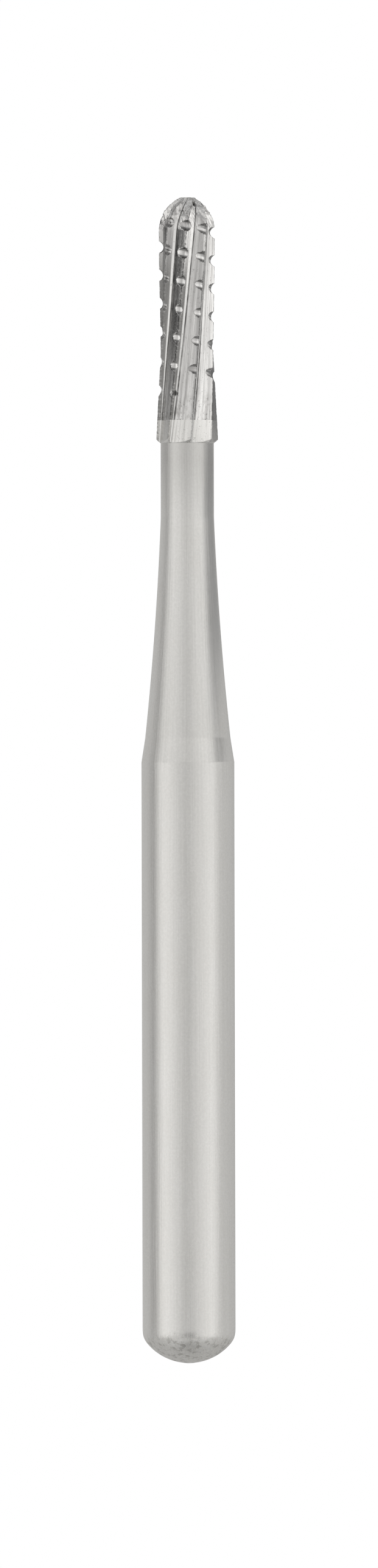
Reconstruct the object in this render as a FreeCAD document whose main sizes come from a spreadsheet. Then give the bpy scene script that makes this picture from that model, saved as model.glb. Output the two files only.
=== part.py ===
import FreeCAD, Part
import math
import os
import Sketcher

V = FreeCAD.Vector

# Driving dimensions in millimetres and degrees. The bur stands on the round end of its shank,
# with the origin at that end on the axis. Heights on the head start at the corner of its foot.
# Angles go round the axis from the front, which is -Y, towards +X.
DIMENSIONS = [
    ("overall_length", 20.08, "round end of the shank to the tip of the dome"),
    ("shank_radius", 0.8, "plain grip, 1.6 mm across"),
    ("end_sphere_radius", 0.94, "rounded end of the shank"),
    ("grip_length", 10.35, "round end to the edge of the shoulder"),
    ("shoulder_length", 0.42, "short cone between the grip and the hollow taper"),
    ("shoulder_radius", 0.734, "where the shoulder meets the hollow taper"),
    ("flare_length", 3.8, "hollow taper from the shoulder to the neck"),
    ("flare_sag", 0.031, "how hollow the taper is at its middle"),
    ("neck_radius", 0.458, "straight neck below the head"),
    ("head_length", 4.17, "corner of the head's foot to the tip"),
    ("foot_chamfer", 0.065, "rise from the top of the neck out to the corner of the foot"),
    ("weld_height", 0.33, "corner of the foot to the weld line"),
    ("foot_radius", 0.535, "tooth crests at the corner of the foot"),
    ("waist_radius", 0.478, "tooth crests at the slimmest place"),
    ("waist_height", 2.3, "corner of the foot to the slimmest place"),
    ("waist_power", 1.5, "how late the crests widen from the waist to the foot"),
    ("dome_radius", 0.483, "tooth crests at the base of the dome"),
    ("dome_height", 0.6, "base of the dome to its pole, which is a little taller than a half ball"),
    ("tooth_count", 8, "cutting teeth round the head"),
    ("tooth_depth", 0.096, "crest down to the flute floor"),
    ("foot_depth", 0.069, "crest down to the flute floor at the corner of the foot"),
    ("rake_width", 0.8, "angle taken by the leaning rake face at the corner of the foot"),
    ("rake_growth", 2.6, "angle that the rake face gains in each 1 mm up to the dome"),
    ("floor_width", 2.6, "angle taken by the flute floor at the corner of the foot"),
    ("floor_growth", 1.7, "angle that the flute floor gains in each 1 mm up to the dome"),
    ("floor_drop", 0.018, "how far the flute floor falls from the rake face to the next tooth"),
    ("clearance_bulge", 0.008, "how far the middle of a clearance face stands out"),
    ("flute_lead", 33.7, "height in which a flute would go once round the axis"),
    ("first_tooth_angle", 6.5, "where the first tooth meets the corner of the foot"),
    ("dome_swirl", 40.0, "extra turn of the flutes from the base of the dome to its pole"),
    ("tip_flat", 0.06, "radius of the plain spot that the teeth run up to at the tip"),
    ("groove_pitch", 0.4907, "rise of the left-hand crosscut groove in one turn"),
    ("groove_top", 0.381, "tip of the dome down to the groove's upper end"),
    ("groove_radius", 0.106, "round bottom of the crosscut groove"),
    ("groove_height", 0.825, "height of the groove's lower end"),
    ("groove_angle", -65.6, "lower end of the groove, in the flute before the second tooth"),
    ("groove_floor_radius", 0.446, "groove floor at its lower end"),
    ("groove_taper", -0.95, "slope of the groove floor, which is deeper towards the dome"),
]

# Sections that shape the teeth: evenly spaced up to the dome, then by angle over the dome.
STRAIGHT_SECTIONS = 7
DOME_SECTIONS = 7

# Heights above the origin, as formulas over the cells.
FOOT = "(Dimensions.overall_length - Dimensions.head_length)"
NECK_TOP = f"({FOOT} - Dimensions.foot_chamfer)"
FLARE_START = "(Dimensions.grip_length + Dimensions.shoulder_length)"
FLARE_END = f"({FLARE_START} + Dimensions.flare_length)"


def make_sheet(doc):
    """Keep each driving dimension in a cell that is named after it."""
    sheet = doc.addObject("Spreadsheet::Sheet", "Dimensions")
    for row, (alias, size, note) in enumerate(DIMENSIONS, start=1):
        sheet.set(f"A{row}", note)
        sheet.set(f"B{row}", str(size))
        sheet.setAlias(f"B{row}", alias)
    doc.recompute()
    return sheet


def origin_plane(body, role):
    """Find one of the body's own origin planes."""
    for feature in body.Origin.OriginFeatures:
        if feature.Role == role:
            return feature
    raise ValueError(f"the body has no {role}")


def constrain(sketch, name, *constraint, formula=None):
    """Add one constraint, bound to a formula over the cells where there is one."""
    index = sketch.addConstraint(Sketcher.Constraint(*constraint))
    sketch.renameConstraint(index, name)
    if formula:
        sketch.setExpression(f"Constraints.{name}", formula)


def draw_shank_profile(sketch, sheet):
    """Draw half of the shank's outline, from its round end up to the top of the neck."""
    foot = sheet.overall_length - sheet.head_length
    flare_start = sheet.grip_length + sheet.shoulder_length
    flare_end = flare_start + sheet.flare_length
    end_rise = math.sqrt(sheet.end_sphere_radius**2 - sheet.shank_radius**2)
    taper = sheet.shoulder_radius - sheet.neck_radius
    chord = math.hypot(sheet.flare_length, taper)
    flare_radius = (chord**2 / 4 + sheet.flare_sag**2) / (2 * sheet.flare_sag)

    end_centre = V(0, sheet.end_sphere_radius, 0)
    end_corner = V(sheet.shank_radius, sheet.end_sphere_radius - end_rise, 0)
    shoulder = V(sheet.shank_radius, sheet.grip_length, 0)
    flare_low = V(sheet.shoulder_radius, flare_start, 0)
    flare_high = V(sheet.neck_radius, flare_end, 0)
    outward = V(sheet.flare_length / chord, taper / chord, 0)
    flare_middle = (flare_low + flare_high) / 2
    flare_centre = flare_middle + outward * (flare_radius - sheet.flare_sag)
    neck_top = V(sheet.neck_radius, foot - sheet.foot_chamfer, 0)
    axis_top = V(0, neck_top.y, 0)

    end_circle = Part.Circle(end_centre, V(0, 0, 1), sheet.end_sphere_radius)
    flare_circle = Part.Circle(flare_centre, V(0, 0, 1), flare_radius)
    low = math.atan2(flare_low.y - flare_centre.y, flare_low.x - flare_centre.x)
    high = math.atan2(flare_high.y - flare_centre.y, flare_high.x - flare_centre.x)
    corner_angle = math.atan2(-end_rise, sheet.shank_radius)

    end = sketch.addGeometry(Part.ArcOfCircle(end_circle, -math.pi / 2, corner_angle))
    grip = sketch.addGeometry(Part.LineSegment(end_corner, shoulder))
    cone = sketch.addGeometry(Part.LineSegment(shoulder, flare_low))
    flare = sketch.addGeometry(Part.ArcOfCircle(flare_circle, high, low % (2 * math.pi)))
    neck = sketch.addGeometry(Part.LineSegment(flare_high, neck_top))
    top = sketch.addGeometry(Part.LineSegment(neck_top, axis_top))
    axis = sketch.addGeometry(Part.LineSegment(axis_top, V(0, 0, 0)))

    joins = [(end, 2, grip, 1), (grip, 2, cone, 1), (cone, 2, flare, 2), (flare, 1, neck, 1)]
    joins += [(neck, 2, top, 1), (top, 2, axis, 1), (axis, 2, end, 1), (axis, 2, -1, 1)]
    for number, ends in enumerate(joins):
        constrain(sketch, f"join_{number}", "Coincident", *ends)
    constrain(sketch, "end_on_axis", "PointOnObject", end, 3, -2)
    constrain(sketch, "axis_upright", "Vertical", axis)
    constrain(sketch, "grip_straight", "Vertical", grip)
    constrain(sketch, "neck_straight", "Vertical", neck)
    constrain(sketch, "top_level", "Horizontal", top)

    sizes = [
        ("end_round", "Radius", (end,), sheet.end_sphere_radius, "Dimensions.end_sphere_radius"),
        ("grip_out", "DistanceX", (-1, 1, grip, 2), shoulder.x, "Dimensions.shank_radius"),
        ("grip_up", "DistanceY", (-1, 1, grip, 2), shoulder.y, "Dimensions.grip_length"),
        ("flare_out", "DistanceX", (-1, 1, cone, 2), flare_low.x, "Dimensions.shoulder_radius"),
        ("flare_up", "DistanceY", (-1, 1, cone, 2), flare_low.y, FLARE_START),
        ("neck_out", "DistanceX", (-1, 1, neck, 1), flare_high.x, "Dimensions.neck_radius"),
        ("neck_up", "DistanceY", (-1, 1, neck, 1), flare_high.y, FLARE_END),
        ("neck_end", "DistanceY", (-1, 1, neck, 2), neck_top.y, NECK_TOP),
    ]
    for name, kind, ends, size, formula in sizes:
        constrain(sketch, name, kind, *ends, size, formula=formula)
    half_chord = (
        "(Dimensions.flare_length ^ 2 + (Dimensions.shoulder_radius - Dimensions.neck_radius) ^ 2) / 4"
    )
    formula = f"({half_chord} + Dimensions.flare_sag ^ 2) / (2 * Dimensions.flare_sag)"
    constrain(sketch, "flare_round", "Radius", flare, flare_radius, formula=formula)


def add_turned_shank(doc, sheet):
    """Turn the grip, shoulder, hollow taper and neck from one half profile."""
    body = doc.addObject("PartDesign::Body", "TurnedShank")
    sketch = body.newObject("Sketcher::SketchObject", "ShankProfile")
    sketch.AttachmentSupport = [(origin_plane(body, "XZ_Plane"), "")]
    sketch.MapMode = "FlatFace"
    draw_shank_profile(sketch, sheet)
    turned = body.newObject("PartDesign::Revolution", "ShankTurning")
    turned.Profile = sketch
    turned.ReferenceAxis = (sketch, ["V_Axis"])
    turned.Angle = 360
    return body


def tooth_section(sheet, height, straight_length, crest, turn, shrink):
    """Cut across the teeth: each has a crest, a leaning rake face and a flute floor,
    and a long clearance face, a little rounded, that climbs to the next crest."""
    level = sheet.overall_length - sheet.head_length + height
    rise = min(height, straight_length)
    pitch = 360 / sheet.tooth_count
    low = sheet.rake_width + sheet.rake_growth * rise
    high = low + sheet.floor_width + sheet.floor_growth * rise
    widening = max(0, 1 - height / sheet.waist_height)
    floor = crest - shrink * (sheet.tooth_depth + (sheet.foot_depth - sheet.tooth_depth) * widening)
    middle = 2 * floor * crest * math.cos(math.radians(pitch - high) / 2) / (floor + crest)
    middle += shrink * sheet.clearance_bulge
    # Radius and angle of the crest, the floor's two sides, and the middle of the clearance face.
    steps = [(crest, 0), (floor + shrink * sheet.floor_drop, low), (floor, high)]
    steps += [(middle, (high + pitch) / 2), (crest, pitch)]
    edges = []
    for tooth in range(int(sheet.tooth_count)):
        corners = []
        for radius, step in steps:
            angle = math.radians(turn + tooth * pitch + step)
            corners.append(V(radius * math.sin(angle), -radius * math.cos(angle), level))
        edges.append(Part.makeLine(corners[0], corners[1]))
        edges.append(Part.makeLine(corners[1], corners[2]))
        edges.append(Part.Arc(corners[2], corners[3], corners[4]).toShape())
    return Part.Wire(edges)


def tooth_sections(sheet):
    """Stack the sections from below the foot up to the plain spot at the tip."""
    last_angle = math.acos(sheet.tip_flat / sheet.dome_radius)
    straight_length = sheet.head_length - sheet.dome_height * math.sin(last_angle)
    twist = 360 / sheet.flute_lead
    sections = []
    for step in range(STRAIGHT_SECTIONS):
        share = step / STRAIGHT_SECTIONS
        height = share * straight_length - (1 - share) * 2 * sheet.foot_chamfer
        if height < sheet.waist_height:
            widening = (1 - height / sheet.waist_height) ** sheet.waist_power
            spread = (sheet.foot_radius - sheet.waist_radius) * widening
        else:
            above = (height - sheet.waist_height) / (straight_length - sheet.waist_height)
            spread = (sheet.dome_radius - sheet.waist_radius) * above
        crest = sheet.waist_radius + spread
        turn = sheet.first_tooth_angle + twist * height
        sections.append(tooth_section(sheet, height, straight_length, crest, turn, 1))
    for step in range(DOME_SECTIONS + 1):
        angle = last_angle * step / DOME_SECTIONS
        height = straight_length + sheet.dome_height * math.sin(angle)
        swirl = sheet.dome_swirl * (angle / (math.pi / 2)) ** 2
        turn = sheet.first_tooth_angle + twist * height + swirl
        shrink = math.cos(angle)
        crest = sheet.dome_radius * shrink
        sections.append(tooth_section(sheet, height, straight_length, crest, turn, shrink))
    return sections


def add_foot_sphere(doc):
    """Place the ball that rounds the foot from the neck out to the corner of the head."""
    spread = "(Dimensions.foot_radius ^ 2 - Dimensions.neck_radius ^ 2)"
    drop = f"({spread} / Dimensions.foot_chamfer + Dimensions.foot_chamfer) / 2"
    ball = doc.addObject("Part::Sphere", "FootSphere")
    ball.setExpression("Radius", f"sqrt(Dimensions.neck_radius ^ 2 + ({drop}) ^ 2)")
    ball.setExpression("Placement.Base.z", f"{NECK_TOP} + {drop}")
    return ball


def add_groove_cutter(doc):
    """Sweep the round-bottomed crosscut groove up a left-hand helix round the head."""
    path = doc.addObject("Part::Helix", "GroovePath")
    path.LocalCoord = "Left-handed"
    path.setExpression("Pitch", "Dimensions.groove_pitch")
    rise = "Dimensions.head_length - Dimensions.groove_height - Dimensions.groove_top"
    path.setExpression("Height", rise)
    path.setExpression("Radius", "Dimensions.groove_floor_radius + Dimensions.groove_radius")
    path.setExpression("Angle", "Dimensions.groove_taper")
    base = f"vector(0; 0; {FOOT} + Dimensions.groove_height)"
    turn = "rotation(vector(0; 0; 1); Dimensions.groove_angle - 90)"
    path.setExpression("Placement", f"placement({base}; {turn})")

    section = doc.addObject("Part::Circle", "GrooveSection")
    start = "placement(vector(GroovePath.Radius; 0; 0); rotation(vector(1; 0; 0); 90))"
    section.setExpression("Radius", "Dimensions.groove_radius")
    section.setExpression("Placement", f"GroovePath.Placement * {start}")

    cutter = doc.addObject("Part::Sweep", "GrooveCutter")
    cutter.Sections = [section]
    cutter.Spine = (path, ["Edge1"])
    cutter.Solid = True
    cutter.Frenet = True
    return cutter


def add_pieces(doc, sheet):
    """Part the spiral teeth at the weld line into carbide, which takes the crosscut groove,
    and steel, which is rounded at the foot and joined to the neck."""
    shank = add_turned_shank(doc, sheet)
    cutter = add_groove_cutter(doc)
    foot_sphere = add_foot_sphere(doc)
    teeth = doc.addObject("Part::Feature", "SpiralTeeth")
    teeth.Shape = Part.makeLoft(tooth_sections(sheet), True, False)

    above = doc.addObject("Part::Cylinder", "AboveWeld")
    above.setExpression("Placement.Base.z", f"{FOOT} + Dimensions.weld_height")
    above.setExpression("Radius", "2 * Dimensions.foot_radius")
    above.setExpression("Height", "Dimensions.head_length")

    carbide = doc.addObject("Part::Common", "CarbideTeeth")
    carbide.Base = teeth
    carbide.Tool = above
    head = doc.addObject("Part::Cut", "CarbideHead")
    head.Base = carbide
    head.Tool = cutter
    head.Label = "carbide_head"

    stub = doc.addObject("Part::Cut", "SteelTeeth")
    stub.Base = teeth
    stub.Tool = above
    foot = doc.addObject("Part::Common", "FootedTeeth")
    foot.Base = stub
    foot.Tool = foot_sphere
    steel = doc.addObject("Part::Fuse", "SteelShank")
    steel.Base = shank
    steel.Tool = foot
    steel.Refine = True
    steel.Label = "steel_shank"
    return [head, steel]


def check(doc, pieces):
    """Stop if any object failed or came out empty, or a piece isn't one valid solid."""
    for item in doc.Objects:
        if "Invalid" in item.State or "Error" in item.State:
            raise RuntimeError(f"{item.Label} failed: {item.State}")
        if item.isDerivedFrom("Part::Boolean") and not item.Shape.Solids:
            raise RuntimeError(f"{item.Label} is empty")
    for piece in pieces:
        if piece.Shape.isNull() or not piece.Shape.isValid() or len(piece.Shape.Solids) != 1:
            raise RuntimeError(f"{piece.Label} is not one valid solid")


def main():
    doc = FreeCAD.newDocument("DentalBur")
    sheet = make_sheet(doc)
    pieces = add_pieces(doc, sheet)
    doc.recompute()
    check(doc, pieces)
    os.makedirs("parts", exist_ok=True)
    for piece in pieces:
        piece.Shape.exportStep(f"parts/{piece.Label}.step")
        print(piece.Label, f"{piece.Shape.Volume:.4f} mm3", len(piece.Shape.Faces), "faces")


main()
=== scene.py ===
import math

import bpy
import numpy as np
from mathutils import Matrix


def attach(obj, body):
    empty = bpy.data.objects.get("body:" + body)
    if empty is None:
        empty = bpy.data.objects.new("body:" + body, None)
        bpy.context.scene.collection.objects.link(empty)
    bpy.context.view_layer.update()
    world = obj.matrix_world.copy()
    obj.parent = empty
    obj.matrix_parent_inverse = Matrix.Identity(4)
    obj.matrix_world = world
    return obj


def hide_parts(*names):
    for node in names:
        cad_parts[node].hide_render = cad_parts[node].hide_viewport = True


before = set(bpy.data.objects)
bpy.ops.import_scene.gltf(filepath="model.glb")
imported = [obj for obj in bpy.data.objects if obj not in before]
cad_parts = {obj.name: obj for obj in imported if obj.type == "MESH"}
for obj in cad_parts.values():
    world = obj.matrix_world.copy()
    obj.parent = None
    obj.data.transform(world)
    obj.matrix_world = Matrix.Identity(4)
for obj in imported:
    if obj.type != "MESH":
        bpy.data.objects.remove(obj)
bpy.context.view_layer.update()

MM = 0.001

# Sizes in millimetres and degrees, the same as in the CAD source.
OVERALL_LENGTH = 20.08
SHANK_RADIUS = 0.8
END_SPHERE_RADIUS = 0.94
GRIP_LENGTH = 10.35
SHOULDER_LENGTH = 0.42
SHOULDER_RADIUS = 0.734
FLARE_LENGTH = 3.8
FLARE_SAG = 0.031
NECK_RADIUS = 0.458
HEAD_LENGTH = 4.17
FOOT_CHAMFER = 0.065
WELD_HEIGHT = 0.33
FOOT_RADIUS = 0.535
WAIST_RADIUS = 0.478
WAIST_HEIGHT = 2.3
WAIST_POWER = 1.5
DOME_RADIUS = 0.483
DOME_HEIGHT = 0.6
TOOTH_COUNT = 8
TOOTH_DEPTH = 0.096
FOOT_DEPTH = 0.069
RAKE_WIDTH = 0.8
RAKE_GROWTH = 2.6
FLOOR_WIDTH = 2.6
FLOOR_GROWTH = 1.7
FLOOR_DROP = 0.018
CLEARANCE_BULGE = 0.008
FLUTE_LEAD = 33.7
FIRST_TOOTH_ANGLE = 6.5
DOME_SWIRL = 40.0
TIP_FLAT = 0.06
GROOVE_PITCH = 0.4907
GROOVE_TOP = 0.381
GROOVE_RADIUS = 0.106
GROOVE_HEIGHT = 0.825
GROOVE_ANGLE = -65.6
GROOVE_FLOOR_RADIUS = 0.446
GROOVE_TAPER = -0.95

# Small pits, each an angle, a height above the foot, a radius and a depth: one on a cutting
# edge low on the head, and one beside the tip.
PITS = [(-29.5, 0.79, 0.065, 0.045), (34, 4.05, 0.06, 0.04)]

# Wear. Chips lie within CHIP_REACH degrees of a crest and fade out over CHIP_FADE below the tip,
# and one as deep as FULL_CHIP shows bare metal. The tip is ragged over the height of TIP_ZONE, by
# a share of its radius and by TIP_RISE up or down. Dents and bulges set in over DOME_ZONE.
CHIP_DEPTH = 0.007
CHIP_REACH = 2.6
CHIP_FADE = 0.5
FULL_CHIP = 0.003
TIP_ZONE = 0.3
TIP_ROUGHNESS = 0.05
TIP_RISE = 0.024
TIP_HOLLOW = 0.004
DOME_ZONE = 0.3
DENT_DEPTH = 0.026
BULGE_HEIGHT = 0.016

FOOT = OVERALL_LENGTH - HEAD_LENGTH
NECK_TOP = FOOT - FOOT_CHAMFER
LAST_ANGLE = math.acos(TIP_FLAT / DOME_RADIUS)
STRAIGHT_LENGTH = HEAD_LENGTH - DOME_HEIGHT * math.sin(LAST_ANGLE)
GROOVE_RISE = HEAD_LENGTH - GROOVE_HEIGHT - GROOVE_TOP
CONE_END = GRIP_LENGTH + SHOULDER_LENGTH
FLARE_END = CONE_END + FLARE_LENGTH


# The camera, which looks straight at the bur's side through a long lens

camera = bpy.data.objects.new("camera", bpy.data.cameras.new("camera"))
bpy.context.collection.objects.link(camera)
camera.data.lens = 400
camera.data.sensor_width = 36
camera.data.clip_start = 0.01
camera.location = (0.0184 * MM, -0.3001, 9.976 * MM)
camera.rotation_euler = (math.radians(90), math.radians(0.12), 0)
bpy.context.scene.camera = camera


# The teeth, as a radius for each angle round a section

RAKE_COLUMNS = 6
FLOOR_COLUMNS = 6
FACE_COLUMNS = 20
PITCH = 360 / TOOTH_COUNT


def tooth_shares():
    """How far across the rake face, the floor and the clearance face each column of points is."""
    runs = (RAKE_COLUMNS, FLOOR_COLUMNS, FACE_COLUMNS)
    shares = np.zeros((3, sum(runs)))
    start = 0
    for face, run in enumerate(runs):
        shares[face, start:start + run] = np.arange(run) / run
        shares[face, start + run:] = 1
        start += run
    return shares


SHARES = np.tile(tooth_shares(), TOOTH_COUNT)
COLUMNS = SHARES.shape[1]
TOOTH = np.repeat(np.arange(TOOTH_COUNT), COLUMNS // TOOTH_COUNT)
EVEN = np.arange(COLUMNS) * 360 / COLUMNS
ON_RAKE = SHARES[1] + SHARES[2] == 0
BEFORE_FACE = SHARES[2] == 0


def flute_sides(height):
    """Angles past the crest where the rake face meets the floor, and the floor the next face."""
    rise = np.minimum(height, STRAIGHT_LENGTH)
    low = RAKE_WIDTH + RAKE_GROWTH * rise
    return low, low + FLOOR_WIDTH + FLOOR_GROWTH * rise


def tooth_step(height):
    """Angle of each column past its own tooth's crest, so that columns follow the edges."""
    low, high = flute_sides(height)
    return SHARES[0] * low + SHARES[1] * (high - low) + SHARES[2] * (PITCH - high)


def chord(angle, angle_1, radius_1, angle_2, radius_2):
    """Radius of the straight line between two corners, at an angle between them."""
    a, a1, a2 = (np.radians(x) for x in (angle, angle_1, angle_2))
    across = radius_1 * np.sin(a - a1) + radius_2 * np.sin(a2 - a)
    return radius_1 * radius_2 * np.sin(a2 - a1) / across


def arc(angle, corners):
    """Radius of the circle through three corners, each an angle and a radius."""
    places = [(r * np.sin(np.radians(a)), r * np.cos(np.radians(a))) for a, r in corners]
    (x1, y1), (x2, y2), (x3, y3) = places
    s1, s2, s3 = (x**2 + y**2 for x, y in places)
    size = 2 * (x1 * (y2 - y3) + x2 * (y3 - y1) + x3 * (y1 - y2))
    x = (s1 * (y2 - y3) + s2 * (y3 - y1) + s3 * (y1 - y2)) / size
    y = (s1 * (x3 - x2) + s2 * (x1 - x3) + s3 * (x2 - x1)) / size
    a = np.radians(angle)
    along = x * np.sin(a) + y * np.cos(a)
    return along + np.sqrt(np.maximum(0, (x1 - x) ** 2 + (y1 - y) ** 2 - x**2 - y**2 + along**2))


def tooth_radius(height, crest, depth, shrink):
    """Rake face, flute floor or rounded clearance face, at each column of a height."""
    floor = crest - depth
    rake_foot = floor + FLOOR_DROP * shrink
    step = tooth_step(height)
    low, high = flute_sides(height)
    middle = 2 * floor * crest * np.cos(np.radians(PITCH - high) / 2) / (floor + crest)
    middle = middle + CLEARANCE_BULGE * shrink
    rake = chord(step, 0, crest, low, rake_foot)
    bottom = chord(step, low, rake_foot, high, floor)
    face = arc(step, [(high, floor), ((high + PITCH) / 2, middle), (PITCH, crest)])
    return np.where(ON_RAKE, rake, np.where(BEFORE_FACE, bottom, face))


def straight_section(height):
    """Crest radius and tooth depth at a height above the foot, below the dome."""
    widening = np.maximum(0, 1 - height / WAIST_HEIGHT)
    above = np.maximum(0, height - WAIST_HEIGHT) / (STRAIGHT_LENGTH - WAIST_HEIGHT)
    crest = WAIST_RADIUS + (FOOT_RADIUS - WAIST_RADIUS) * widening**WAIST_POWER
    crest = crest + (DOME_RADIUS - WAIST_RADIUS) * above
    return crest, TOOTH_DEPTH + (FOOT_DEPTH - TOOTH_DEPTH) * widening


def turn_at(height):
    """How far the first tooth has turned at a height."""
    return FIRST_TOOTH_ANGLE + 360 / FLUTE_LEAD * height


def head_skin(height):
    """Radius and angle of the teeth at each column of a height, before the groove is cut."""
    crest, depth = straight_section(np.minimum(height, STRAIGHT_LENGTH))
    sine = np.clip((height - STRAIGHT_LENGTH) / DOME_HEIGHT, 0, 1)
    shrink = np.sqrt(1 - sine**2)
    swirl = DOME_SWIRL * (np.arcsin(sine) / (math.pi / 2)) ** 2
    radius = tooth_radius(height, crest * shrink, depth * shrink, shrink)
    return radius, turn_at(height) + swirl + tooth_step(height) + PITCH * TOOTH


def groove(angle, height):
    """Surface of the left-hand crosscut groove, or infinity beside it,
    and how far up or down the groove's wall a point lies, from 0 to 1."""
    nearest = np.full(np.broadcast(angle, height).shape, np.inf)
    wall = np.zeros(nearest.shape)
    first = ((GROOVE_ANGLE - angle) / 360) % 1
    for turn in range(math.ceil(GROOVE_RISE / GROOVE_PITCH)):
        rise = (first + turn) * GROOVE_PITCH
        away = height - GROOVE_HEIGHT - rise
        inside = (np.abs(away) < GROOVE_RADIUS) & (rise < GROOVE_RISE)
        centre = GROOVE_FLOOR_RADIUS + GROOVE_RADIUS + math.tan(math.radians(GROOVE_TAPER)) * rise
        bottom = centre - np.sqrt(np.maximum(0, GROOVE_RADIUS**2 - away**2))
        wall = np.where(inside & (bottom < nearest), np.abs(away) / GROOVE_RADIUS, wall)
        nearest = np.where(inside, np.minimum(nearest, bottom), nearest)
    return nearest, wall


def waver(x, seed):
    """A smooth run of uneven values between about -1 and 1."""
    total = np.sin(x * 1.0 + seed) + np.sin(x * 2.33 + seed * 2.7) + np.sin(x * 5.17 + seed * 1.3)
    return (total + np.sin(x * 11.9 + seed * 4.1)) / 4


# Meshes

SHARP_ANGLE = 32

# How many rows of points each stretch has, and the gap in millimetres between the rows that
# follow the round end's corner.
STRAIGHT_ROWS = 277
DOME_ROWS = 76
END_ROWS = 95
CORNER_ROWS = 40
CORNER_GAP = 0.01

# Bands that the materials paint along the teeth, in degrees: how far past the flute's corner the
# darkest line of painted shade lies, and how wide each band is.
BAND_SHIFT = 0.6
BAND_WIDTH = 2.6
CREST_WIDTH = 2.2


def skin_faces(rows, columns):
    """Quads between neighbouring rows, and the triangles that join each end row to its pole."""
    i, j = np.meshgrid(np.arange(rows - 1), np.arange(columns), indexing="ij")
    k = (j + 1) % columns
    quads = np.stack([i * columns + j, i * columns + k, (i + 1) * columns + k, (i + 1) * columns + j], 2)
    ring = np.arange(columns)
    after = (ring + 1) % columns
    top = (rows - 1) * columns
    low_pole = rows * columns
    low_fan = np.stack([after, ring, np.full(columns, low_pole)], 1)
    high_fan = np.stack([top + ring, top + after, np.full(columns, low_pole + 1)], 1)
    return quads.reshape(-1, 4), np.vstack([low_fan, high_fan])


def add_uv_map(mesh, quads, u, v):
    """Turn and height as a UV map, which runs past 1 on the quads that close the turn."""
    corners = np.zeros(len(mesh.loops), int)
    mesh.loops.foreach_get("vertex_index", corners)
    corner_u = u[corners]
    starts = np.arange(0, quads.size, 4)
    wrapped = quads[:, 1] % COLUMNS == 0
    for corner in (1, 2):
        corner_u[starts[wrapped] + corner] += 1
    layer = mesh.uv_layers.new(name="UVMap")
    layer.data.foreach_set("uv", np.stack([corner_u, v[corners]], 1).ravel())


def turned_mesh(name, radius, angle, height, low_pole, high_pole, mat, **values):
    """A closed skin over rows of points round the axis, with a UV map of turn and height,
    and values at its points for the material to use."""
    rows = len(radius)
    a = np.radians(angle)
    points = np.stack([radius * np.sin(a), -radius * np.cos(a), height], axis=2).reshape(-1, 3)
    points = np.vstack([points, [[0, 0, low_pole], [0, 0, high_pole]]]) * MM
    quads, fans = skin_faces(rows, COLUMNS)
    mesh = bpy.data.meshes.new(name)
    mesh.from_pydata(points.tolist(), [], quads.tolist() + fans.tolist())
    u = np.append(np.tile(EVEN / 360, rows), [0.5, 0.5])
    v = np.append(height.ravel(), [low_pole, high_pole]) / OVERALL_LENGTH
    add_uv_map(mesh, quads, u, v)
    for key, value in values.items():
        layer = mesh.attributes.new(key, "FLOAT", "POINT")
        layer.data.foreach_set("value", np.append(value.ravel(), [0, 0]))
    mesh.shade_smooth()
    mesh.set_sharp_from_angle(angle=math.radians(SHARP_ANGLE))
    mesh.materials.append(mat)
    piece = bpy.data.objects.new(name, mesh)
    bpy.context.collection.objects.link(piece)
    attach(piece, "root")
    return piece


def close_rows(*stops):
    """Heights or angles from one stop to the next, each run with its own number of steps."""
    runs = [np.linspace(a, b, n, endpoint=False) for (a, n), (b, _) in zip(stops, stops[1:])]
    return np.append(np.concatenate(runs), stops[-1][0])


def rounded(run, reach=9):
    """A run of numbers with its corners rounded, by averaging each with its neighbours twice."""
    run = run.copy()
    width = 2 * reach + 1
    for _ in range(2):
        run[reach:-reach] = np.convolve(run, np.full(width, 1 / width), "valid")
    return run


def end_rows():
    """Radius and height of the round end and the start of the grip, with the corner between
    them slightly rounded."""
    corner = math.asin(SHANK_RADIUS / END_SPHERE_RADIUS)
    tilt = close_rows((0.01, END_ROWS), (corner, 0))
    height = END_SPHERE_RADIUS * (1 - np.cos(tilt))
    beyond = CORNER_GAP * np.arange(1, CORNER_ROWS + 1)
    radius = np.append(END_SPHERE_RADIUS * np.sin(tilt), np.full(len(beyond), SHANK_RADIUS))
    return rounded(radius), rounded(np.append(height, height[-1] + beyond))


def flare_radius(height):
    """Radius of the hollow flare between the shoulder and the neck, an arc."""
    taper = SHOULDER_RADIUS - NECK_RADIUS
    half = math.hypot(FLARE_LENGTH, taper) / 2
    arc_radius = (half**2 + FLARE_SAG**2) / (2 * FLARE_SAG)
    out, up = FLARE_LENGTH / (2 * half), taper / (2 * half)
    centre_r = (SHOULDER_RADIUS + NECK_RADIUS) / 2 + out * (arc_radius - FLARE_SAG)
    centre_z = CONE_END + FLARE_LENGTH / 2 + up * (arc_radius - FLARE_SAG)
    return centre_r - np.sqrt(arc_radius**2 - (height - centre_z) ** 2)


def shank_rows():
    """Radius and height of the turned shank, from its round end to the top of the neck.
    Rows stand close together beside each edge, so that smooth shading stays near it."""
    end_radius, end = end_rows()
    grip = close_rows((end[-1] + 0.05, 60), (GRIP_LENGTH - 0.03, 3), (GRIP_LENGTH, 0))
    cone = close_rows((GRIP_LENGTH + 0.01, 3), (GRIP_LENGTH + 0.04, 10), (CONE_END - 0.04, 3), (CONE_END, 0))
    slope = (SHOULDER_RADIUS - SHANK_RADIUS) / SHOULDER_LENGTH
    flare = close_rows((CONE_END + 0.02, 60), (FLARE_END, 0))
    neck = close_rows((FLARE_END + 0.05, 14), (NECK_TOP - 0.01, 2), (NECK_TOP, 0))

    radius = [end_radius, np.full(len(grip), SHANK_RADIUS), SHANK_RADIUS + slope * (cone - GRIP_LENGTH)]
    radius += [flare_radius(flare), np.full(len(neck), NECK_RADIUS)]
    return np.concatenate(radius), np.concatenate([end, grip, cone, flare, neck])


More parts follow.
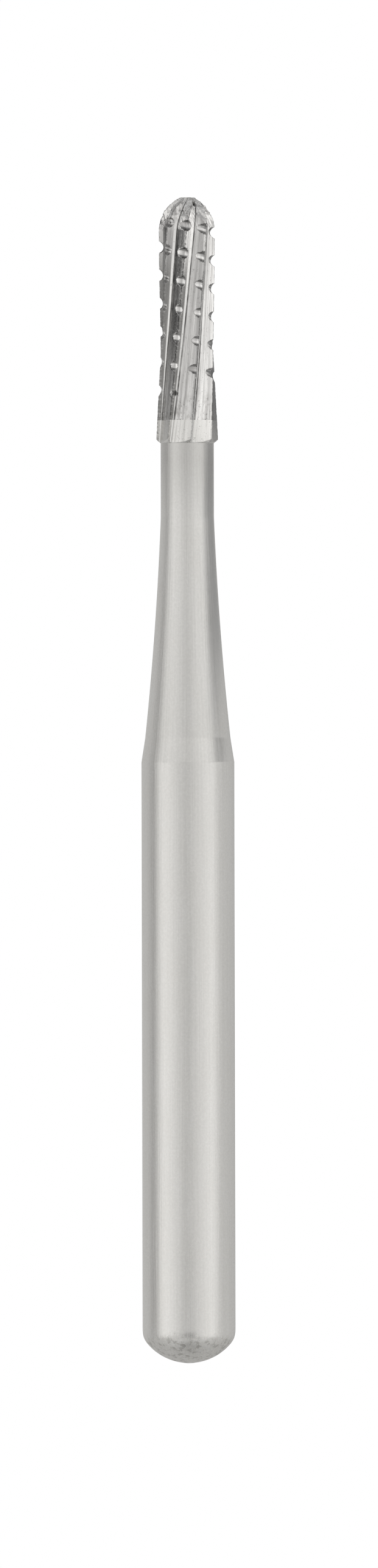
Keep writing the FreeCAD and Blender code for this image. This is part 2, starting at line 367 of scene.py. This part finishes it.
def nicks(step, tooth, height):
    """Small chips along the cutting edges, as a depth."""
    near = np.clip(1 - np.minimum(step, PITCH - step) / CHIP_REACH, 0, 1)
    rough = np.maximum(0, waver(height * 21, tooth * 1.9) - 0.12) + 0.25 * waver(height * 90, tooth * 3.1)
    return CHIP_DEPTH * near * np.maximum(0, rough)


def tooth_marks(height):
    """Where the rake face, the flute floor, the corner beyond it and the crest lie, from 0 to 1."""
    step = tooth_step(height)
    everywhere = np.ones(height.shape)
    floor = np.clip(SHARES[1] * 3, 0, 1) * BEFORE_FACE * everywhere
    corner = np.clip(1 - np.abs(step - flute_sides(height)[1] - BAND_SHIFT) / BAND_WIDTH, 0, 1)
    crest = np.clip(1 - np.minimum(step * 2, PITCH - step) / CREST_WIDTH, 0, 1)
    return {"rake": ON_RAKE * everywhere, "flute": floor, "corner": corner, "crest": crest}


def make_shank(mat):
    """The steel piece: the turned shank, and the fluted foot of the head below the weld."""
    lathe_radius, lathe_height = shank_rows()
    foot_height = close_rows((-FOOT_CHAMFER + 0.008, 10), (0, 26), (WELD_HEIGHT, 0))
    foot_height = np.tile(foot_height[:, None], COLUMNS)
    tooth, foot_angle = head_skin(foot_height)
    tooth = tooth - nicks(tooth_step(foot_height), TOOTH, foot_height)
    drop = (FOOT_RADIUS**2 - NECK_RADIUS**2 + FOOT_CHAMFER**2) / (2 * FOOT_CHAMFER)
    ball = np.sqrt(NECK_RADIUS**2 + drop**2 - (foot_height + FOOT_CHAMFER - drop) ** 2)

    low_turn = turn_at(-FOOT_CHAMFER)
    radius = np.vstack([np.tile(lathe_radius[:, None], COLUMNS), np.minimum(tooth, ball)])
    angle = np.vstack([np.tile(low_turn + EVEN, (len(lathe_radius), 1)), foot_angle])
    height = np.vstack([np.tile(lathe_height[:, None], COLUMNS), FOOT + foot_height])
    plain = np.zeros((len(lathe_radius), COLUMNS))
    marks = {key: np.vstack([plain, value]) for key, value in tooth_marks(foot_height).items()}
    piece = turned_mesh("shank", radius, angle, height, 0, FOOT + WELD_HEIGHT, mat, **marks)
    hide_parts("steel_shank")
    return piece


def moved_to_groove(height, halvings=12):
    """Rows of points moved up or down to meet the groove's edges, which are found by halving
    the space between the rows on either side."""
    def in_groove(rows):
        radius, angle = head_skin(rows)
        return groove(angle, rows)[0] < radius

    cut = in_groove(height)
    low, high = height[:-1].copy(), height[1:].copy()
    for _ in range(halvings):
        middle = (low + high) / 2
        same = in_groove(middle) == cut[:-1]
        low, high = np.where(same, middle, low), np.where(same, high, middle)
    edge = (low + high) / 2
    change = cut[:-1] != cut[1:]
    nearer_low = change & (edge - height[:-1] < height[1:] - edge)
    nearer_high = change & ~nearer_low
    nearer_low[0] = False
    nearer_high[-1] = False
    moved = height.copy()
    moved[:-1] = np.where(nearer_low, edge, moved[:-1])
    moved[1:] = np.where(nearer_high, edge, moved[1:])
    return moved


def pitted(radius, angle, height):
    """The radius with the small pits pressed in, and how deep in a pit each point is."""
    deepest = np.zeros(radius.shape)
    for pit_angle, pit_height, pit_radius, pit_depth in PITS:
        across = ((angle - pit_angle + 180) % 360 - 180) * np.radians(radius)
        inside = np.clip(1 - np.hypot(across, height - pit_height) / pit_radius, 0, 1)
        radius = radius - pit_depth * inside
        deepest = np.maximum(deepest, inside)
    return radius, deepest


def worn(radius, angle, height, tip, dome):
    """The radius with the dome's bulges and dents, and the ragged tip."""
    rough = waver(angle / 9, height * 30) + 0.6 * waver(angle / 3.7, height * 55)
    dents = np.minimum(0, waver(angle / 17, height * 9) + 0.5 * waver(angle / 6.1, height * 23))
    bulges = waver(angle / 20, height * 7) + waver(angle / 8, height * 14)
    uneven = dome * (1 - tip) * (DENT_DEPTH * dents + BULGE_HEIGHT * bulges)
    return radius * (1 + TIP_ROUGHNESS * tip * rough) + uneven


def dullness(angle, height):
    """How much the painted highlight on the groove's floor is held back: most at its upper end,
    towards the crests and on the front right, there above all low down."""
    front_right = (angle % 360 < 120) * np.clip((1.7 - height) / 0.5, 0.5, 1)
    upper = np.clip((height - 3.2) / 0.3, 0, 0.75)
    by_crest = 0.75 * np.clip((SHARES[2] - 0.45) / 0.4, 0, 1)
    return np.maximum(np.maximum(front_right, upper), by_crest)


def make_head(mat):
    """The carbide piece: spiral teeth, the crosscut groove and the swirled dome."""
    straight = np.linspace(WELD_HEIGHT, STRAIGHT_LENGTH, STRAIGHT_ROWS, endpoint=False)
    domed = STRAIGHT_LENGTH + DOME_HEIGHT * np.sin(np.linspace(0, LAST_ANGLE, DOME_ROWS))
    height = moved_to_groove(np.tile(np.concatenate([straight, domed])[:, None], COLUMNS))
    radius, angle = head_skin(height)
    fade = np.clip((HEAD_LENGTH - height) / CHIP_FADE, 0, 1)
    chips = nicks(tooth_step(height), TOOTH, height) * fade
    radius = radius - chips
    groove_floor, wall = groove(angle, height)
    in_groove = groove_floor < radius
    radius, dimple = pitted(np.minimum(radius, groove_floor), angle, height)
    tip = np.clip((height - HEAD_LENGTH + TIP_ZONE) / TIP_ZONE, 0, 1)
    dome = np.clip((height - STRAIGHT_LENGTH) / DOME_ZONE, 0, 1)
    radius = worn(radius, angle, height, tip, dome)
    z = np.minimum(FOOT + height + TIP_RISE * tip * waver(angle / 14, radius * 60), OVERALL_LENGTH)

    marks = {key: np.where(in_groove, 0, value) for key, value in tooth_marks(height).items()}
    marks.update(wall=np.where(in_groove, wall, 1), cut=np.where(in_groove, 1.0, 0.0))
    marks.update(dull=dullness(angle, height), dimple=dimple, chip=np.minimum(1, chips / FULL_CHIP))
    low_pole, high_pole = FOOT + WELD_HEIGHT, OVERALL_LENGTH - TIP_HOLLOW
    piece = turned_mesh("head", radius, angle, z, low_pole, high_pole, mat, tip=tip, dome=dome, **marks)
    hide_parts("carbide_head")
    return piece


# Materials

# Heights in millimetres between which the matt round end gives way to the bright grip, and how
# far that ragged line wanders up or down.
MATT_END_LOW = 0.36
MATT_END_HIGH = 0.56
MATT_END_WAVER = 0.16

STEEL = {
    "dark_streak": (0.735, 0.73, 0.715, 1),
    "light_streak": (0.79, 0.785, 0.77, 1),
    "cloud": (0.71, 0.70, 0.67, 1),
    # painted shade on the top of the neck, under the head
    "neck": (0.52, 0.515, 0.50, 1),
    "end": (0.66, 0.655, 0.63, 1),
    "pit": (0.42, 0.41, 0.39, 1),
    "speckle": (0.36, 0.35, 0.33, 1),
    "grinding": (0.56, 0.555, 0.54, 1),
    "foot_pit": (0.42, 0.415, 0.40, 1),
    # painted highlight on the flute floors of the head's foot
    "flute": (0.94, 0.935, 0.92, 1),
    # painted shade in the flutes' corners
    "corner": (0.30, 0.295, 0.28, 1),
    "crest": (0.25, 0.245, 0.235, 1),
}
CARBIDE = {
    "dark_streak": (0.42, 0.415, 0.41, 1),
    # also the painted highlight in the middle of the groove's floor
    "bright": (0.92, 0.915, 0.905, 1),
    "line": (0.30, 0.295, 0.29, 1),
    "cloud": (0.44, 0.435, 0.425, 1),
    "patch": (0.20, 0.195, 0.19, 1),
    # painted highlight on the flute floors
    "flute": (0.80, 0.795, 0.785, 1),
    # painted shade on the rake faces low on the head
    "rake": (0.22, 0.217, 0.21, 1),
    "groove": (0.42, 0.415, 0.41, 1),
    "stain": (0.26, 0.25, 0.235, 1),
    # painted shade in the flutes' corners
    "corner": (0.11, 0.107, 0.104, 1),
    # painted shade at the groove's walls and in the pits
    "edge": (0.09, 0.088, 0.085, 1),
    "spot": (0.12, 0.115, 0.11, 1),
    "chip": (0.90, 0.895, 0.885, 1),
    "crest": (0.12, 0.118, 0.115, 1),
}


class Nodes:
    """Short ways to add and join a material's nodes."""

    def __init__(self, name):
        self.mat = bpy.data.materials.new(name)
        self.mat.use_nodes = True
        self.tree = self.mat.node_tree
        self.shader = self.tree.nodes["Principled BSDF"]
        self.uv = self.add("ShaderNodeUVMap").outputs[0]
        self.place = self.add("ShaderNodeTexCoord").outputs["Object"]
        self.height = self.add("ShaderNodeSeparateXYZ", Vector=self.place).outputs["Z"]

    def add(self, kind, **sockets):
        node = self.tree.nodes.new(kind)
        for name, value in sockets.items():
            self.feed(node.inputs[name], value)
        return node

    def feed(self, socket, value):
        if isinstance(value, bpy.types.NodeSocket):
            self.tree.links.new(value, socket)
        else:
            socket.default_value = value

    def noise(self, source, scale, detail, rough):
        """Noise over a place that is first stretched by three numbers."""
        stretch = self.add("ShaderNodeVectorMath")
        stretch.operation = "MULTIPLY"
        self.feed(stretch.inputs[0], source)
        stretch.inputs[1].default_value = scale
        node = self.add("ShaderNodeTexNoise", Scale=1.0, Detail=detail, Roughness=rough)
        self.feed(node.inputs["Vector"], stretch.outputs[0])
        return node.outputs["Fac"]

    def span(self, value, low, high, to_low=0.0, to_high=1.0, smooth=False):
        """A value between two numbers, spread between two others."""
        node = self.add("ShaderNodeMapRange")
        node.interpolation_type = "SMOOTHSTEP" if smooth else "LINEAR"
        names = ("Value", "From Min", "From Max", "To Min", "To Max")
        for name, number in zip(names, (value, low, high, to_low, to_high)):
            self.feed(node.inputs[name], number)
        return node.outputs[0]

    def rise(self, low, high, to_low=0.0, to_high=1.0, smooth=False):
        """A value that changes between two heights, in millimetres above the origin."""
        return self.span(self.height, low * MM, high * MM, to_low, to_high, smooth)

    def maths(self, operation, a, b):
        node = self.add("ShaderNodeMath")
        node.operation = operation
        self.feed(node.inputs[0], a)
        self.feed(node.inputs[1], b)
        return node.outputs[0]

    def plus(self, a, b):
        return self.maths("ADD", a, b)

    def times(self, a, b):
        return self.maths("MULTIPLY", a, b)

    def most(self, a, b):
        return self.maths("MAXIMUM", a, b)

    def mix(self, share, a, b):
        """The first colour, with a share of the second over it."""
        node = self.add("ShaderNodeMix")
        node.data_type = "RGBA"
        for socket, value in zip((node.inputs[0], node.inputs[6], node.inputs[7]), (share, a, b)):
            self.feed(socket, value)
        return node.outputs[2]

    def marks(self, *keys):
        """Values kept at the mesh's points."""
        for key in keys:
            node = self.add("ShaderNodeAttribute")
            node.attribute_name = key
            yield node.outputs["Fac"]

    def bump(self, height, distance, below=None):
        node = self.add("ShaderNodeBump", Height=height, Distance=distance)
        if below is not None:
            self.feed(node.inputs["Normal"], below)
        return node.outputs[0]

    def metal(self, colour, rough, normal):
        """The material, as a metal with this colour, roughness and relief."""
        self.feed(self.shader.inputs["Base Color"], colour)
        self.feed(self.shader.inputs["Roughness"], rough)
        self.feed(self.shader.inputs["Normal"], normal)
        self.shader.inputs["Metallic"].default_value = 1
        return self.mat


def steel_material():
    """Finely ground stainless steel with lengthwise streaks, painted shade on the top of the neck under the
    head, and a pitted, matt round end. The head's fluted foot has grinding marks, painted highlights on the
    flute floors, painted shade in the flutes' corners and dark crests."""
    n = Nodes("ground_steel")
    streaks = n.noise(n.uv, (130, 5, 1), 5, 0.65)
    lines = n.noise(n.uv, (900, 7, 1), 2, 0.6)
    cloud = n.noise(n.place, (2600, 2600, 900), 3, 0.6)
    pits = n.noise(n.place, (26000, 26000, 26000), 4, 0.7)
    coarse = n.noise(n.place, (11000, 11000, 11000), 4, 0.7)
    grinding = n.noise(n.uv, (90, 9, 1), 5, 0.75)
    flute, corner, crest = n.marks("flute", "corner", "crest")

    ragged = n.plus(n.height, n.span(cloud, 0, 1, -MATT_END_WAVER * MM, MATT_END_WAVER * MM))
    end = n.span(ragged, MATT_END_LOW * MM, MATT_END_HIGH * MM, 1, 0, smooth=True)
    dark = n.times(n.span(pits, 0.42, 0.62, 1, 0), n.span(end, 0, 1, 0.10, 0.25))
    speckle = n.times(n.span(coarse, 0.40, 0.48, 1, 0), end)
    # Painted shade on the top of the neck, under the head's wider foot.
    neck = n.times(n.rise(NECK_TOP - 1.2, NECK_TOP - 0.3), n.rise(NECK_TOP, NECK_TOP + 0.01, 1, 0))
    foot = n.rise(NECK_TOP, NECK_TOP + 0.02)
    edge = n.times(crest, n.span(pits, 0.4, 0.6))

    colour = n.mix(n.span(streaks, 0.3, 0.7), STEEL["dark_streak"], STEEL["light_streak"])
    colour = n.mix(n.span(cloud, 0.35, 0.75, 0, 0.35), colour, STEEL["cloud"])
    # Painted shade under the head.
    colour = n.mix(n.times(neck, 0.5), colour, STEEL["neck"])
    colour = n.mix(n.times(end, 0.35), colour, STEEL["end"])
    colour = n.mix(dark, colour, STEEL["pit"])
    colour = n.mix(n.times(speckle, 0.6), colour, STEEL["speckle"])
    colour = n.mix(n.times(foot, n.span(grinding, 0.50, 0.66)), colour, STEEL["grinding"])
    colour = n.mix(n.times(foot, n.span(pits, 0.58, 0.66, 0, 0.7)), colour, STEEL["foot_pit"])
    # Painted highlight on the flute floors.
    colour = n.mix(flute, colour, STEEL["flute"])
    # Painted shade in the flutes' corners.
    colour = n.mix(n.times(n.span(corner, 0.2, 0.7), 0.6), colour, STEEL["corner"])
    colour = n.mix(n.times(edge, 0.8), colour, STEEL["crest"])

    rough = n.plus(n.span(streaks, 0.3, 0.7, 0.17, 0.23), n.span(end, 0, 1, 0, 0.16))
    along = n.bump(streaks, 0.0010 * MM, n.bump(lines, 0.0012 * MM))
    pitted_end = n.times(pits, n.span(end, 0, 1, 0.04, 1))
    return n.metal(colour, rough, n.bump(pitted_end, 0.007 * MM, along))


def carbide_material():
    """Ground carbide, with grinding lines along the teeth, painted highlights on the flute floors, painted
    shade on the rake faces low down and in the flutes' corners, a groove with a painted highlight in the
    middle of its floor and painted shade at its walls and in the pits, jagged crests, and small specks and
    stains. The dome is mottled instead of lined."""
    n = Nodes("ground_carbide")
    streaks = n.noise(n.uv, (62, 7, 1), 5, 0.75)
    lines = n.noise(n.uv, (210, 14, 1), 3, 0.7)
    specks = n.noise(n.place, (30000, 30000, 22000), 3, 0.6)
    cloud = n.noise(n.place, (5200, 5200, 3200), 4, 0.65)
    mottle = n.noise(n.place, (9000, 9000, 9000), 4, 0.7)
    ragged = n.noise(n.place, (3000, 3000, 9000), 3, 0.7)
    wall, cut, dull, dimple, chip = n.marks("wall", "cut", "dull", "dimple", "chip")
    tip, dome, rake, flute, corner, crest = n.marks("tip", "dome", "rake", "flute", "corner", "crest")

    low = n.rise(FOOT + WELD_HEIGHT, FOOT + 0.95, 1, 0, smooth=True)
    straight = n.span(dome, 0, 1, 1, 0)
    lines = n.times(lines, straight)
    streaks = n.plus(n.times(streaks, straight), n.times(cloud, dome))
    # Painted highlight on the flute floors, weaker on the dome. The flute floors are also rougher.
    flute = n.times(flute, n.span(dome, 0, 1, 1, 0.45))
    # Painted shade on the rake faces, fading out above about 3 mm up the head.
    rake = n.times(rake, n.rise(FOOT + 2.7, FOOT + 3.3, 0.75, 0))
    # Painted shade in the flutes' corners.
    corner = n.times(n.span(corner, 0.1, 0.6), n.span(cloud, 0.3, 0.6, 0.5, 1))
    # Painted shade at the groove's walls and in the pits.
    edge = n.times(n.times(n.span(wall, 0.28, 0.60, smooth=True), cut), n.span(specks, 0.3, 0.6, 0.7, 1))
    edge = n.most(edge, n.span(dimple, 0.1, 0.5))
    # Painted highlight in the middle of the groove's floor, held back where the mesh says so.
    groove_highlight = n.times(n.times(n.span(wall, 0.25, 0.5, 1, 0), n.span(dull, 0, 1, 1, 0)), cut)
    jagged = n.times(n.span(crest, 0.15, 0.7), n.span(ragged, 0.40, 0.54))
    spots = n.times(n.span(specks, 0.60, 0.68), n.span(low, 0, 1, 0.35, 1))
    stain = n.times(n.span(cloud, 0.55, 0.72), n.most(low, tip))

    colour = n.mix(n.span(streaks, 0.36, 0.64), CARBIDE["dark_streak"], CARBIDE["bright"])
    colour = n.mix(n.span(lines, 0.46, 0.68, 0, 0.48), colour, CARBIDE["line"])
    colour = n.mix(n.span(cloud, 0.4, 0.75, 0, 0.3), colour, CARBIDE["cloud"])
    colour = n.mix(n.times(dome, n.span(mottle, 0.52, 0.66, 0, 0.6)), colour, CARBIDE["bright"])
    colour = n.mix(n.times(dome, n.span(mottle, 0.44, 0.34, 0, 0.7)), colour, CARBIDE["patch"])
    # Painted highlight on the flute floors.
    colour = n.mix(flute, colour, CARBIDE["flute"])
    # Painted shade on the rake faces.
    colour = n.mix(rake, colour, CARBIDE["rake"])
    colour = n.mix(cut, colour, CARBIDE["groove"])
    # Painted highlight in the middle of the groove's floor.
    colour = n.mix(groove_highlight, colour, CARBIDE["bright"])
    colour = n.mix(n.times(stain, 0.7), colour, CARBIDE["stain"])
    # Painted shade in the flutes' corners.
    colour = n.mix(corner, colour, CARBIDE["corner"])
    # Painted shade at the groove's walls and in the pits.
    colour = n.mix(n.times(edge, 0.85), colour, CARBIDE["edge"])
    colour = n.mix(n.times(spots, 0.8), colour, CARBIDE["spot"])
    colour = n.mix(n.times(chip, 0.5), colour, CARBIDE["chip"])
    colour = n.mix(n.times(jagged, 0.8), colour, CARBIDE["crest"])

    rough = n.plus(n.span(streaks, 0.3, 0.7, 0.12, 0.20), n.times(flute, 0.10))
    rough = n.plus(rough, n.times(stain, 0.15))
    along = n.bump(streaks, 0.0018 * MM, n.bump(lines, 0.0016 * MM))
    along = n.bump(n.times(mottle, dome), 0.010 * MM, along)
    return n.metal(colour, rough, n.bump(specks, 0.0012 * MM, along))


make_shank(steel_material())
make_head(carbide_material())


# The studio: a pale floor below the bur, a cloth tent round it and a white world

# Its sizes are in metres, and its angles are in degrees from the front towards the right.
FLOOR_LEVEL = -0.04
FLOOR_RADIUS = 0.6
FLOOR_COLOUR = (0.86, 0.86, 0.855, 1)
CLOTH_COLOUR = (1, 0.99, 0.975, 1)
LIGHT_COLOUR = (1, 0.99, 0.98, 1)
LIGHT_STRENGTH = 0.9
WHITE = (1, 1, 1, 1)

# How bright the tent glows at each angle. Its rings, from the floor up, each have a height and
# the most that they glow, which is less higher up.
TENT_GLOW = [
    (-180, 0.60), (-120, 0.60), (-108, 0.56), (-100, 0.40), (-90, 0.42), (-76, 0.96),
    (-56, 1.04), (-44, 0.92), (-26, 0.78), (-14, 0.68), (0, 0.60), (14, 0.76),
    (40, 0.88), (54, 1.00), (70, 1.02), (78, 0.68), (120, 0.62), (180, 0.50),
]
TENT_RADIUS = 0.08
NO_LIMIT = 2
TENT_RINGS = [(FLOOR_LEVEL, NO_LIMIT), (0.0115, NO_LIMIT), (0.0150, 0.84), (0.11, 0.84)]

# A smaller tube round the head alone, with deeper contrast for its small faces.
COLLAR_GLOW = [
    (-180, 0.52), (-160, 0.50), (-140, 0.40), (-109, 0.34), (-95, 0.50), (-84, 0.95),
    (-60, 1.05), (-46, 1.00), (-30, 0.84), (-18, 0.80), (13, 0.76), (24, 0.88),
    (38, 1.10), (58, 1.22), (105, 1.22), (120, 0.75), (150, 0.50), (180, 0.52),
]
COLLAR_RADIUS = 0.02
COLLAR_RINGS = [(0.0172, NO_LIMIT), (0.030, NO_LIMIT)]

# Dark cards that the left front face of the teeth reflects. Each is turned on from the one below
# it, as the twisted face is.
FLAG_COUNT = 6
FLAG_ANGLE = -93
FLAG_WIDTH = 50
FLAG_TURN = 7.4
FLAG_LEVEL = 0.0188
FLAG_RISE = 0.00055
FLAG_DISTANCE = 0.017
FLAG_GLOW = 0.03

# Other upright cards: name, two angles, two heights, distance from the axis, lean and glow.
CARDS = [
    ("flute_flag", 90, 104, 0.0164, 0.0179, 0.0165, 16, 0.33),
    ("neck_flag", 74, 150, 0.0132, 0.0163, 0.017, 0, 0.36),
    ("edge_flag", 112, 165, 0.0168, 0.0190, 0.017, 0, 0.20),
    ("end_flag", -9, 9, -0.036, -0.008, 0.06, 0, 0.2),
]

# Flat cards below the round end: name, two places across, and glow.
LOW_LEVEL = -0.014
LOW_FRONT, LOW_BACK = -0.013, -0.003
LOW_CARDS = [("low_card_left", -0.013, -0.0035, 1.0), ("low_card_right", 0.0035, 0.013, 0.85)]


def stage_mesh(name, points, faces, mat):
    mesh = bpy.data.meshes.new(name)
    mesh.from_pydata(points, [], faces)
    mesh.materials.append(mat)
    thing = bpy.data.objects.new(name, mesh)
    bpy.context.collection.objects.link(thing)
    return thing


def matt_material(name, colour):
    mat = bpy.data.materials.new(name)
    mat.use_nodes = True
    shader = mat.node_tree.nodes["Principled BSDF"]
    shader.inputs["Base Color"].default_value = colour
    shader.inputs["Roughness"].default_value = 0.9
    return mat


def glowing_material(name, colour):
    """A glow whose strength is read from the mesh's own values."""
    mat = bpy.data.materials.new(name)
    mat.use_nodes = True
    tree = mat.node_tree
    value = tree.nodes.new("ShaderNodeAttribute")
    value.attribute_name = "glow"
    emission = tree.nodes.new("ShaderNodeEmission")
    emission.inputs["Color"].default_value = colour
    tree.links.new(value.outputs["Fac"], emission.inputs["Strength"])
    tree.links.new(emission.outputs[0], tree.nodes["Material Output"].inputs["Surface"])
    return mat


def set_glow(thing, glow):
    """Give a mesh its glow at each point, and hide it from the camera but not from the metal."""
    thing.data.attributes.new("glow", "FLOAT", "POINT").data.foreach_set("value", glow)
    thing.visible_camera = False


def around(angle, distance):
    """A place at an angle from the front and a distance from the axis."""
    turn = math.radians(angle)
    return distance * math.sin(turn), -distance * math.cos(turn)


def make_tube(name, radius, profile, rings):
    """An open tube of glowing cloth. Each ring has a height, and the most that it glows."""
    angles = np.arange(-180, 180, 2)
    glow = np.concatenate([np.minimum(np.interp(angles, *zip(*profile)), most) for _, most in rings])
    points = [(*around(angle, radius), height) for height, _ in rings for angle in angles]
    count = len(angles)
    faces = []
    for start in range(0, (len(rings) - 1) * count, count):
        for i in range(count):
            after = (i + 1) % count
            faces.append((start + i, start + after, start + count + after, start + count + i))
    set_glow(stage_mesh(name, points, faces, glowing_material(name + "_cloth", CLOTH_COLOUR)), glow)


def make_card(name, points, glow):
    """A card of even brightness."""
    card = stage_mesh(name, points, [tuple(range(len(points)))], glowing_material(name, WHITE))
    set_glow(card, [glow] * len(points))


def upright_card(near, far, low, high, distance, lean):
    """Corners of a card between two angles and two heights, with its top end turned on by a lean."""
    corners = [(near, low), (far, low), (far + lean, high), (near + lean, high)]
    return [(*around(angle, distance), height) for angle, height in corners]


def disc(width, depth, centre, height, count=32):
    """Points round a level oval, whose centre may lie in front of the axis."""
    turns = np.arange(count) * 2 * math.pi / count
    return [(width * math.cos(t), centre + depth * math.sin(t), height) for t in turns]


def make_studio():
    make_tube("tent", TENT_RADIUS, TENT_GLOW, TENT_RINGS)
    make_tube("collar", COLLAR_RADIUS, COLLAR_GLOW, COLLAR_RINGS)
    for step in range(FLAG_COUNT):
        far = FLAG_ANGLE + FLAG_TURN * step
        low = FLAG_LEVEL + FLAG_RISE * step
        corners = upright_card(far - FLAG_WIDTH, far, low, low + FLAG_RISE, FLAG_DISTANCE, FLAG_TURN)
        make_card(f"tooth_flag_{step}", corners, FLAG_GLOW)
    for name, near, far, low, high, distance, lean, glow in CARDS:
        make_card(name, upright_card(near, far, low, high, distance, lean), glow)
    # A dark disc below the round end, hidden from the camera. The end reflects it as painted shade from
    # below.
    make_card("low_flag", disc(0.003, 0.005, -0.004, LOW_LEVEL), 0.03)
    for name, near, far, glow in LOW_CARDS:
        corners = [(near, LOW_FRONT), (far, LOW_FRONT), (far, LOW_BACK), (near, LOW_BACK)]
        make_card(name, [(x, y, LOW_LEVEL) for x, y in corners], glow)
    make_card("top_flag", disc(0.04, 0.04, 0, 0.060), 0.6)
    floor = disc(FLOOR_RADIUS, FLOOR_RADIUS, 0, FLOOR_LEVEL, 64)
    stage_mesh("floor", floor, [tuple(range(len(floor)))], matt_material("pale_floor", FLOOR_COLOUR))


def make_world():
    """Plain white for the camera and in reflections, and soft light for everything else."""
    world = bpy.data.worlds.new("studio")
    bpy.context.scene.world = world
    world.use_nodes = True
    tree = world.node_tree
    tree.nodes.clear()
    path = tree.nodes.new("ShaderNodeLightPath")
    seen = path.outputs["Is Camera Ray"]
    for ray in ("Is Glossy Ray", "Is Transmission Ray"):
        either = tree.nodes.new("ShaderNodeMath")
        either.operation = "MAXIMUM"
        tree.links.new(seen, either.inputs[0])
        tree.links.new(path.outputs[ray], either.inputs[1])
        seen = either.outputs[0]
    both = tree.nodes.new("ShaderNodeMixShader")
    tree.links.new(seen, both.inputs[0])
    for socket, colour, strength in ((1, LIGHT_COLOUR, LIGHT_STRENGTH), (2, WHITE, 1)):
        background = tree.nodes.new("ShaderNodeBackground")
        background.inputs["Color"].default_value = colour
        background.inputs["Strength"].default_value = strength
        tree.links.new(background.outputs[0], both.inputs[socket])
    out = tree.nodes.new("ShaderNodeOutputWorld")
    tree.links.new(both.outputs[0], out.inputs["Surface"])


make_studio()
make_world()
bpy.context.scene.view_settings.view_transform = "Standard"
